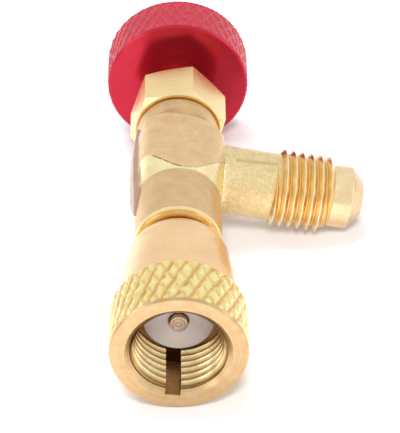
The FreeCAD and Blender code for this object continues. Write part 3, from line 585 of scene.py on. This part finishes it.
# Anodised aluminium: a metallic sheen under the dye, faint turning rings
def anodised(name, look):
    material, tree = newMaterial(name)
    own = ownAxes(tree)
    lines = mathNode(tree, "MULTIPLY", axisSpot(tree, own)[0], 1 / look["ringSpacing"])
    ring = addNode(tree, "ShaderNodeTexNoise", {"noise_dimensions": "1D"}, {"W": lines, "Scale": 1.0, "Detail": 2.0})
    tint = blended(tree, noise(tree, own, 1 / look["stainSize"], 2.0), linear(look["shade"]), linear(look["colour"]))
    return surfaced(material, tree, {
        "Base Color": tint, "Metallic": look["metallic"], "Roughness": look["roughness"],
        "Normal": bump(tree, ring.outputs["Fac"], look["ringDepth"], 0.00003)})


# Plastic or rubber, faintly clouded; soft is the share of light that spreads inside it
def plastic(name, look):
    material, tree = newMaterial(name)
    cloud = noise(tree, ownAxes(tree), look["cloud"], 3.0)
    tint = blended(tree, cloud, linear(look["shade"]), linear(look["colour"]))
    return surfaced(material, tree, {
        "Base Color": tint, "Roughness": look["roughness"], "IOR": look["ior"],
        "Subsurface Weight": look["soft"], "Subsurface Scale": 0.001, "Transmission Weight": look["clear"],
        "Normal": bump(tree, cloud, 0.15, 0.00005)})


# Red anodised aluminium of the knob's faces: smooth, glossy, evenly dyed
redAnodised = anodised("redAnodisedAluminium", {
    "colour": "#BC2E42", "shade": "#B12538", "roughness": 0.2, "metallic": 0.85, "ringSpacing": 0.2,
    "ringDepth": 0.12, "stainSize": 4.0})
# Natural nylon: milky, lets light through, soft gloss, a faint swirl from moulding
nylon = plastic("nylon", {"colour": "#F6EDE6", "shade": "#E8DCD3", "roughness": 0.3, "ior": 1.53,
                          "soft": 0.6, "clear": 0.1, "cloud": 0.6})
# PTFE: white, waxy and duller than the nylon
ptfe = plastic("ptfe", {"colour": "#F4F3EF", "shade": "#E9E7E1", "roughness": 0.45, "ior": 1.35,
                        "soft": 0.4, "clear": 0.0, "cloud": 0.8})
# O-rings: black and matt
rubber = plastic("nitrileRubber", {"colour": "#1A1A1B", "shade": "#111112", "roughness": 0.55, "ior": 1.52,
                                   "soft": 0.0, "clear": 0.0, "cloud": 3.0})
print("materials ready")

# Swivel nut: knurled band in front, smooth tail behind, thread and vent slot inside
nutSizes = {"mouth": -40.5, "radius": 9.115, "knurlEnd": -32.4, "band": 8.5, "tail": 7.8, "tailMiddle": 6.9,
            "tailBow": 62.4, "tailRound": 4.0, "tailEnd": -17.85, "tailEndRadius": 4.3, "countersink": 7.0,
            "sinkTip": 4.5, "root": 6.35, "crest": 5.7, "reliefStart": -31.5, "reliefEnd": -29.9, "relief": 6.7,
            "seat": -28.5, "bore": 3.8, "cavity": 5.45, "diamonds": 31, "rowPitch": 2.025, "peakAngle": -32.0,
            "depth": 0.26, "lip": 0.3, "lipRear": 0.5, "lipFoot": 8.7, "lipTop": 8.98, "slotTurn": -3.3,
            "slotHalf": 1, "slotDepth": 6.85, "slotEnd": -30.7, "ledge": -33.6, "pocket": 7.55, "facedMouth": 0.7,
            "shadedTailEnd": 0.4}
n = nutSizes
lipFront, lipRear = n["mouth"] + n["lip"], n["mouth"] + n["lipRear"]
rootStart = n["mouth"] + n["countersink"] - n["root"]
sinkEnd = n["mouth"] + n["countersink"] - n["sinkTip"]
tailStart = (n["knurlEnd"] + tiny, n["tail"])
tailTurn = (n["tailEnd"] - n["tailRound"], n["tailMiddle"])
tailRim = (n["tailEnd"], n["tailEndRadius"])
nutWall = turned("nutWall", [
    (n["mouth"], n["countersink"], 0.12), (n["mouth"], n["lipFoot"], 0.06), (lipFront, n["lipTop"], 0.04),
    (lipRear, n["lipTop"]), (lipRear, n["band"]), (n["knurlEnd"], n["band"]), (*tailStart, 0.05),
    *bowed(tailStart, tailTurn, n["tailBow"], 14), tailTurn,
    *bowed(tailTurn, tailRim, n["tailRound"], 12), tailRim,
    (n["tailEnd"], n["bore"]), (n["seat"], n["bore"]), (n["seat"], n["cavity"]), (n["reliefEnd"], n["cavity"]),
    (n["reliefEnd"], n["relief"]), (n["reliefStart"], n["relief"]), (n["reliefStart"], n["root"]),
    (rootStart, n["root"])])
nutThread = grown("nutThread", threadNodes, {
    "Wall": n["root"], "Start": n["mouth"] - 0.2, "Pitch": pitch, "Turns": 7.2, "Height": n["root"] - n["crest"],
    "Flat": 0.2, "Base": 1.2, "Run out": 0.35, "Outward": -1.0}, nutThreadBrass)
combine(nutThread, turned("countersinkTool", [
    (n["mouth"] - 2, 0), (n["mouth"] - 2, n["countersink"] + 2), (sinkEnd, n["sinkTip"]),
    (sinkEnd, 0)]), "DIFFERENCE")
slotPlace = inPlace @ Matrix.Rotation(math.radians(n["slotTurn"]), 4, "Y")
for shell in (nutWall, nutThread):
    for depth, start in ((n["slotDepth"], n["mouth"] - 1), (n["pocket"], n["ledge"])):
        plan = rectangle(-n["slotHalf"], start, n["slotHalf"], n["slotEnd"])
        combine(shell, prism("ventSlot", plan, -depth, -2, slotPlace), "DIFFERENCE")


def nutFinishAndShade(across, along, up):
    around = math.hypot(across, up)
    inSlot = abs(across) < n["slotHalf"] + tiny and up < -n["root"] - 0.02 and around < n["pocket"] + 0.2
    # Painted shade in the slot, darker still in the pocket behind it
    if inSlot and along > n["mouth"] + 0.05:
        return pocketShadeBrass if n["ledge"] + tiny < along < n["slotEnd"] + 0.1 else gapShadeBrass
    # Painted shade on the tail's end, in the gap at the body's rim
    if along > n["tailEnd"] - n["shadedTailEnd"]:
        return gapShadeBrass
    # On the mouth face the rings are real, its darker tone is painted shade
    onRim = along < lipFront + tiny and around > n["countersink"] - 0.2
    return facedShadeBrass if onRim or along < n["mouth"] + n["facedMouth"] else turnedBrass


painted(nutWall, turnedBrass, facedShadeBrass, gapShadeBrass, pocketShadeBrass, choose=nutFinishAndShade, place=slotPlace)
painted(nutThread, nutThreadBrass)
nutKnurl = grown("nutKnurl", knurlNodes, {
    "Radius": n["radius"], "Start": lipFront, "Length": n["knurlEnd"] - n["mouth"] - n["lip"],
    "Around": n["diamonds"], "Steps": 12, "Rows": 48, "Row pitch": n["rowPitch"],
    "Peak at": 2 * n["rowPitch"] - n["lip"], "Peak angle": n["peakAngle"], "Depth": n["depth"], "Line": 0.8,
    "Second": 0.75, "Chamfer": 0.16, "Wall": n["band"] - 0.3, "Uneven": 0.5, "Patch": 1.1}, knurledBrass)
nut = joined("couplingNut", [nutWall, nutKnurl, nutThread])
smoothByAngle(nut)
print("swivel nut", len(nut.data.polygons), "faces")

# Tee body: forged middle, turned barrel and rear end, side port with its thread and flare seat
bodySizes = {"rim": -17.35, "rimRound": 1.1, "barrel": 5.95, "socket": 3.2, "socketEnd": -9.5, "passage": 2.0,
             "chamberFront": -4.0, "chamber": 3.1, "glandFront": 4.2, "gland": 4.8, "end": 10.3, "endRadius": 5.85,
             "cheekFront": -7.3, "half": 6.33, "halfLeft": 6.0, "raw": 6.15, "square": 4.0, "step": 0.1,
             "runOut": 1.8, "landHalf": 6.68, "landEnd": 6.2, "landHeight": 1.6, "landFront": -11.9,
             "landRear": 7.2, "landBow": -6.5, "edge": 0.45, "shoulder": 6.7, "shoulderRear": 6.2,
             "shoulderBend": 5.0, "shoulderEnd": 9.3, "collar": 6.3, "neck": 4.8, "bore": 2.1,
             "threadStart": 14.0, "threadEnd": 21.3, "threadTop": 14.66, "thread": 5.5, "root": 4.75, "core": 4.4,
             "nose": 4.44, "noseStart": 9.0, "noseCore": 4.3, "noseEnd": 24.4, "tip": 26.18, "tipRadius": 2.66,
             "grid": 0.16, "ease": 6, "landFoot": 5.2, "neckFoot": 3, "neckRim": 0.12, "ringInner": 4.9,
             "ringOuter": 0.44, "socketFace": 0.2, "endFace": 0.14}
b = bodySizes


# Middle of the forging: round ends run out over sloping cheeks into a squarish block
def forgedBlock(name, count=192):
    work = bmesh.new()
    sections = []
    for k in range(count):
        x, z = math.sin(2 * math.pi * k / count), math.cos(2 * math.pi * k / count)
        half = b["half"] if x > 0 else b["halfLeft"]
        reach = (abs(x / half) ** b["square"] + abs(z / b["raw"]) ** b["square"]) ** (-1 / b["square"])
        front, rear = edgeAt(rawFront, x * reach), edgeAt(rawRear, x * reach)
        outline = ((b["cheekFront"] - 1, b["barrel"] - 0.2), (b["cheekFront"], b["barrel"] - tiny),
                   (front - 0.1, reach - b["step"]), (front, reach), (rear, reach),
                   (rear + b["runOut"], b["endRadius"]), (rear + b["runOut"] + 0.5, b["endRadius"] - 0.1))
        sections.append([work.verts.new((x * radius, along, z * radius)) for along, radius in outline])
    rings = list(zip(*sections))
    for low, high in zip(rings, rings[1:]):
        for k in range(count):
            work.faces.new((low[k], low[k - 1], high[k - 1], high[k]))
    work.faces.new(rings[0])
    work.faces.new(rings[-1])
    return solidFrom(work, name, inPlace)


block = forgedBlock("block")

# The land bulges a little seen from above, and its front end is a bow seen from the side; the
# inner ends of land, shoulder and neck are hidden in the block
bulge = b["landHalf"] - b["landEnd"]
landRadius = (b["landRear"] - b["landFront"]) ** 2 / (8 * bulge) + bulge / 2
landCorners = [(b["landFront"], b["landEnd"]), (b["landRear"], b["landEnd"])]
landPlan = [landCorners[0], *bowed(*landCorners, landRadius, 24), landCorners[1],
            (b["landRear"], 1), (b["landFront"], 1)]
land = prism("land", [(-across, along) for along, across in landPlan], -b["landHeight"], b["landHeight"])
bowRadius = (b["landBow"] - b["landFront"]) ** 2 / (2 * b["landHeight"]) + b["landHeight"] / 2
landTop = bowed((b["landFront"], 0), (b["landBow"], b["landHeight"]), bowRadius, 12)
landTop += [(b["landBow"], b["landHeight"] + tiny), (9, b["landHeight"] + tiny)]
landSide = [(b["landFront"], 0), *landTop, *((along, -up) for along, up in reversed(landTop))]
combine(land, prism("landTool", landSide, -9, 2, axis="X"), "INTERSECT")
shoulder = prism("shoulder", [
    (1, 0), (b["shoulder"], 0), (b["shoulder"], b["shoulderBend"]), (b["shoulderRear"], b["shoulderEnd"]),
    (1, b["shoulderEnd"])], -b["landHeight"], b["landHeight"])
for raised in (land, shoulder):
    softened(raised, width=b["edge"], segments=4, degrees=50)
neck = turned("neck", [
    (0, 0), (0, b["neck"]), (5, b["neck"]), (b["collar"] - 0.2, b["neck"] + 0.1), (b["collar"] + 0.5, b["neck"], 0.6),
    (b["threadStart"] - 0.02, b["neck"]), (b["threadStart"] - 0.02, 0)], place=ontoPort)
forging = joined("forging", [block, land, shoulder, neck])
flow = forging.modifiers.new("flow", "REMESH")  # the forms run into each other as hot metal does in a die
flow.mode = "VOXEL"
flow.voxel_size = b["grid"] * 0.001
ease = forging.modifiers.new("ease", "SMOOTH")
ease.iterations = b["ease"]
baked(forging)
combine(forging, rod("mainBore", -14, [
    (b["passage"], b["chamberFront"]), (b["chamber"], b["glandFront"]), (b["gland"], 12)]), "DIFFERENCE")
combine(forging, rod("portBore", 0.5, [(b["bore"], 16)], ontoPort), "DIFFERENCE")
frontBarrel = turned("frontBarrel", [
    (b["rim"], b["socket"], 0.1), (b["rim"], b["barrel"], b["rimRound"]), (b["chamberFront"], b["barrel"]),
    (b["chamberFront"], b["passage"]), (b["socketEnd"], b["passage"]), (b["socketEnd"], b["socket"])])
rearEnd = turned("rearEnd", [
    (b["glandFront"], b["gland"]), (b["glandFront"], b["endRadius"]), (b["end"], b["endRadius"], 0.3),
    (b["end"], b["gland"], 0.1)])
noseWall = turned("portNose", [
    (b["noseStart"], b["bore"]), (b["noseStart"], b["noseCore"]), (b["threadStart"] + 0.3, b["noseCore"]),
    (b["threadStart"] + 0.3, b["root"]), (b["threadEnd"], b["root"]), (b["threadEnd"], b["nose"] + 0.1, 0.06),
    (b["threadEnd"] + 0.3, b["nose"]), (b["noseEnd"], b["nose"], 0.25), (b["tip"], b["tipRadius"], 0.12),
    (b["tip"], b["bore"], 0.12)], place=ontoPort)
threadCore = turned("threadCore", [
    (b["threadStart"] - 0.3, b["core"]), (b["threadStart"] - 0.3, b["root"] + tiny),
    (b["threadEnd"] + tiny, b["root"] + tiny), (b["threadEnd"] + tiny, b["core"])], place=ontoPort)
portThread = grown("portThread", threadNodes, {
    "Wall": b["root"], "Start": b["threadTop"] - pitch, "Pitch": pitch, "Turns": 6.4,
    "Height": b["thread"] - b["root"], "Flat": 0.16, "Base": 1.2, "Run out": 0.3, "Outward": 1.0},
    portThreadBrass, ontoPort)


def forgingFinishAndShade(across, along, up):
    nearNeck = across > b["neckFoot"] and math.hypot(along, up) < b["neck"] + b["neckRim"]
    if nearNeck or across > b["collar"] + b["neckRim"]:
        return neckBrass
    # The left land's darker pink tone is painted shade and reflection
    if across < -b["landFoot"] and abs(up) < b["landHeight"] + 0.15 and along < b["landRear"] + 0.2:
        return landShadeBrass
    return trimmedBrass if along < edgeAt(rawFront, across) - 0.05 else forgedBrass


def barrelFinishAndShade(across, along, up):
    # On the rim, amber painted shade at its front and polished brass as a painted highlight on the rounding
    if math.hypot(across, up) > b["ringInner"] and along < b["rim"] + b["rimRound"]:
        return ringShadeBrass if along < b["rim"] + b["ringOuter"] else polishedBrass
    # Painted shade on the socket face in the gap
    return gapShadeBrass if along < b["rim"] + b["socketFace"] else barrelBrass


def rearEndShade(across, along, up):
    # Painted shade on the end face next to the packing nut
    return gapShadeBrass if along > b["end"] - b["endFace"] else barrelBrass


def noseFinishAndShade(across, along, up):
    # The flare seat's cone gets darker brass: painted shade
    return seatShadeBrass if across > b["noseEnd"] + 0.1 else noseBrass


painted(forging, forgedBrass, neckBrass, landShadeBrass, trimmedBrass, choose=forgingFinishAndShade)
painted(frontBarrel, barrelBrass, polishedBrass, ringShadeBrass, gapShadeBrass, choose=barrelFinishAndShade)
painted(rearEnd, barrelBrass, gapShadeBrass, choose=rearEndShade)
painted(noseWall, noseBrass, seatShadeBrass, choose=noseFinishAndShade)
for shell in (threadCore, portThread):
    painted(shell, portThreadBrass)
smoothByAngle(forging, 70)
for shell in (frontBarrel, rearEnd, noseWall, threadCore, portThread):
    smoothByAngle(shell)
body = joined("valveBody", [forging, frontBarrel, rearEnd, noseWall, threadCore, portThread])
print("tee body", len(body.data.polygons), "faces")

# Packing nut: hexagon with a washer face in front, its spigot inside the body
hexSizes = {"front": 10.6, "rear": 17.6, "flats": 12.2, "turn": 22.2, "ring": 6.0, "cone": 0.75, "coneRear": 0.35,
            "washerFace": 10.34, "washerHole": 4.9, "washerEdge": 6.1, "spigot": 4.75, "spigotStart": 5.0,
            "thread": 3.5, "threadEnd": 13.1, "hole": 2.6}
h = hexSizes
corner = h["flats"] / math.sqrt(3)
angles = [math.radians(60 * k - h["turn"]) for k in range(6)]
packing = prism("packingNut", [(corner * math.cos(a), corner * math.sin(a)) for a in angles],
                h["front"], h["rear"], axis="Y")
combine(packing, turned("cones", [
    (h["front"], 0), (h["front"], h["ring"]), (h["front"] + h["cone"], corner + 0.02),
    (h["rear"] - h["coneRear"], corner + 0.02), (h["rear"], h["ring"]), (h["rear"], 0)]), "INTERSECT")
combine(packing, rod("spigot", h["spigotStart"], [(h["spigot"], h["front"] + 2)]), "UNION")
combine(packing, rod("drill", h["spigotStart"] - 1, [(h["thread"], h["threadEnd"]), (h["hole"], h["rear"] + 1)]),
        "DIFFERENCE")
combine(packing, turned("washerFace", [
    (h["washerFace"], h["washerHole"]), (h["washerFace"], h["washerEdge"], 0.08),
    (h["front"] + 0.4, h["washerEdge"]), (h["front"] + 0.4, h["washerHole"])]), "UNION")
softened(packing, width=0.07, segments=2, degrees=20)
flatShaded(packing)


def packingFinishAndShade(across, along, up):
    # Amber ring on the front of the washer face: painted shade and reflection
    onFront = along < h["front"] + 0.03 and math.hypot(across, up) > h["spigot"] + 0.1
    return ringShadeBrass if onFront else polishedBrass


painted(packing, polishedBrass, ringShadeBrass, choose=packingFinishAndShade)
print("packing nut", len(packing.data.polygons), "faces")

# Hand knob: knurled rim on a smooth disc, square hole for the stem, recess for the screw behind
knobSizes = {"front": 22.6, "length": 6.99, "radius": 10.385, "band": 9.8, "web": 3.6, "recess": 5.2, "square": 1.85,
             "lip": 0.25, "lipRear": 0.45, "lipFoot": 10.0, "lipTop": 10.26, "diamonds": 38, "rowPitch": 1.55,
             "peakAngle": 3.3, "depth": 0.16}
k = knobSizes
knobRear, webRear, underBand = k["front"] + k["length"], k["front"] + k["web"], k["front"] + k["lipRear"]
knob = turned("knobWall", [
    (k["front"], 0), (k["front"], k["lipFoot"], 0.08), (k["front"] + k["lip"], k["lipTop"], 0.05),
    (underBand, k["lipTop"]), (underBand, k["band"]), (knobRear, k["band"]), (knobRear, k["recess"], 0.25),
    (webRear, k["recess"]), (webRear, 0)])
combine(knob, prism("squareHole", rectangle(-k["square"], -k["square"], k["square"], k["square"]),
                    k["front"] - 1, webRear + 1, axis="Y"), "DIFFERENCE")
painted(knob, redAnodised)
knobKnurl = grown("knobKnurl", knurlNodes, {
    "Radius": k["radius"], "Start": k["front"] + k["lip"], "Length": k["length"] - k["lip"],
    "Around": k["diamonds"], "Steps": 12, "Rows": 40, "Row pitch": k["rowPitch"], "Peak at": -k["lip"],
    "Peak angle": k["peakAngle"], "Depth": k["depth"], "Line": 0.35, "Second": 0.8, "Chamfer": 0.15,
    "Wall": k["band"], "Ridged": 1.0, "Uneven": 0.45, "Patch": 0.9}, knurledRed)
knob = joined("handKnob", [knob, knobKnurl])
smoothByAngle(knob)
print("hand knob", len(knob.data.polygons), "faces")

# Face gasket: a washer with a narrower foot that sits in the tailpiece
gasketSizes = {"front": -33.6, "radius": 4.7, "hole": 1.35, "step": -31.0, "foot": 2.4, "rear": -29.9}
g = gasketSizes
gasket = painted(turned("faceGasket", [
    (g["front"], g["hole"], 0.12), (g["front"], g["radius"], 0.2), (g["step"], g["radius"]), (g["step"], g["foot"]),
    (g["rear"], g["foot"]), (g["rear"], g["hole"])], segments=128), nylon)
smoothByAngle(gasket)

# Pin with a head at its rear and two fine turned grooves in its tip: inner and outer radius, depth
pinSizes = {"tip": -34.3, "radius": 1.2, "grooves": [(0.28, 0.5, 0.06), (0.74, 0.94, 0.05)], "flank": 0.06,
            "headFront": 6.15, "headRear": 7.45, "head": 1.7}
p = pinSizes
grooves = []
for inner, outer, depth in p["grooves"]:
    bottom = p["tip"] + depth
    grooves += [(p["tip"], inner), (bottom, inner + p["flank"]), (bottom, outer - p["flank"]), (p["tip"], outer)]
pin = painted(turned("depressorPin", [
    (p["tip"], 0), *grooves, (p["tip"], p["radius"], 0.14), (p["headFront"], p["radius"]),
    (p["headFront"], p["head"]), (p["headRear"], p["head"], 0.1), (p["headRear"], 0)], segments=96), pinBrass)
smoothByAngle(pin)

# What each piece moves with, the solid it stands for and the finish it is listed with
for piece, node, bodyName, slot in (
        (nut, "coupling_nut", "nut", "brass"), (body, "valve_body", "body", "forged_brass"),
        (packing, "packing_nut", "body", "brass"), (knob, "knob", "spindle", "red_anodised_aluminium"),
        (gasket, "face_gasket", "body", "nylon"), (pin, "depressor_pin", "pin", "brass")):
    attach(piece, bodyName)
    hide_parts(node)
# The tailpiece, seen only in the gap behind the nut's tail, gets the darker brass: painted shade
for node, material in (("tailpiece", gapShadeBrass), ("stem", turnedBrass), ("packing_nut_seal", ptfe),
                       ("front_stem_o_ring", rubber), ("rear_stem_o_ring", rubber), ("backup_ring", ptfe),
                       ("knob_washer", zincSteel), ("lock_washer", zincSteel), ("knob_screw", zincSteel)):
    for slot in nodes[node].material_slots:
        slot.material = material


# 1 for what the camera sees by itself, in gloss or through glass, 0 for what only lights
def seenDirectly(tree):
    ray = addNode(tree, "ShaderNodeLightPath").outputs
    return mathNode(tree, "MAXIMUM", ray["Is Camera Ray"],
                    mathNode(tree, "MAXIMUM", ray["Is Glossy Ray"], ray["Is Transmission Ray"]))


# White paper: shadows show near the object, further out it fades into the white room
def floorMaterial():
    material, tree = newMaterial("paperSweep")
    paper = addNode(tree, "ShaderNodeBsdfDiffuse", None, {"Color": linear("#F2EFEF")})
    glow = addNode(tree, "ShaderNodeEmission", None, {"Color": (1, 1, 1, 1), "Strength": 1.0})
    where = addNode(tree, "ShaderNodeTexCoord")
    reach = addNode(tree, "ShaderNodeVectorMath", {"operation": "LENGTH"}, {0: where.outputs["Object"]})
    lit = addNode(tree, "ShaderNodeMixShader", None, {
        0: remapped(tree, reach.outputs["Value"], 0.08, 0.4, 0.2, 1.0), 1: paper.outputs[0], 2: glow.outputs[0]})
    both = addNode(tree, "ShaderNodeMixShader", None,
                   {0: seenDirectly(tree), 1: paper.outputs[0], 2: lit.outputs[0]})
    addNode(tree, "ShaderNodeOutputMaterial", None, {"Surface": both.outputs[0]})
    return material


floorMesh = bpy.data.meshes.new("floor")
floorMesh.from_pydata([(x, y, 0) for x, y in rectangle(-3, -3, 3, 3)], [], [(0, 1, 2, 3)])
floor = meshObject("floor", floorMesh, [floorMaterial()])

# The room shows white to the camera and in the metal, and lights the rest softly
world = bpy.data.worlds.new("studio")
bpy.context.scene.world = world
world.use_nodes = True
skyTree = world.node_tree
skyTree.nodes.clear()
soft = addNode(skyTree, "ShaderNodeBackground", None, {"Color": (0.82, 0.72, 0.76, 1), "Strength": 0.5})
white = addNode(skyTree, "ShaderNodeBackground", None, {"Color": (1, 1, 1, 1), "Strength": 1.0})
mixed = addNode(skyTree, "ShaderNodeMixShader", None,
                {0: seenDirectly(skyTree), 1: soft.outputs[0], 2: white.outputs[0]})
addNode(skyTree, "ShaderNodeOutputWorld", None, {"Surface": mixed.outputs[0]})


def softBox(name, spot, aim, size, power, glossy):
    light = bpy.data.lights.new(name, "AREA")
    light.shape = "RECTANGLE"
    light.size, light.size_y = size
    light.energy = power
    lamp = bpy.data.objects.new(name, light)
    lamp.location = spot
    lamp.visible_glossy = glossy  # the white room alone shows in the metal where this is off
    lamp.rotation_euler = (Vector(aim) - Vector(spot)).to_track_quat("-Z", "Y").to_euler()
    bpy.context.scene.collection.objects.link(lamp)


softBox("softBoxTop", (-0.09, 0.14, 0.43), (0, 0, 0), (0.3, 0.32), 2.3, False)
softBox("softBoxLeft", (-0.45, -0.25, 0.25), (0, 0, 0.01), (0.3, 0.3), 0.3, True)
softBox("softBoxRight", (0.45, -0.15, 0.22), (0, 0, 0.01), (0.2, 0.35), 0.2, True)
softBox("softBoxFront", (0.02, -0.34, 0.42), (0, -0.03, 0.01), (0.14, 0.12), 2.2, False)

# The photo's own camera, fitted to it: degrees, pixels, mm from where the two axes cross
view = {"elevation": 34.768, "azimuth": 1.040, "roll": 2.671, "focal": 2570.39, "pixels": 433,
        "spot": (8.244, -300.745, 201.200)}
cameraData = bpy.data.cameras.new("photoView")
cameraData.sensor_width = 36.0
cameraData.lens = view["focal"] / view["pixels"] * cameraData.sensor_width
camera = bpy.data.objects.new("photoView", cameraData)
up, side = math.radians(view["elevation"]), math.radians(view["azimuth"])
back = Vector((math.sin(side) * math.cos(up), -math.cos(side) * math.cos(up), math.sin(up)))
camera.matrix_world = (Matrix.Translation(crossing + Vector(view["spot"]) * 0.001)
                       @ back.to_track_quat("Z", "Y").to_matrix().to_4x4()
                       @ Matrix.Rotation(-math.radians(view["roll"]), 4, "Z"))
bpy.context.scene.collection.objects.link(camera)
bpy.context.scene.camera = camera
bpy.context.scene.view_settings.view_transform = "Standard"
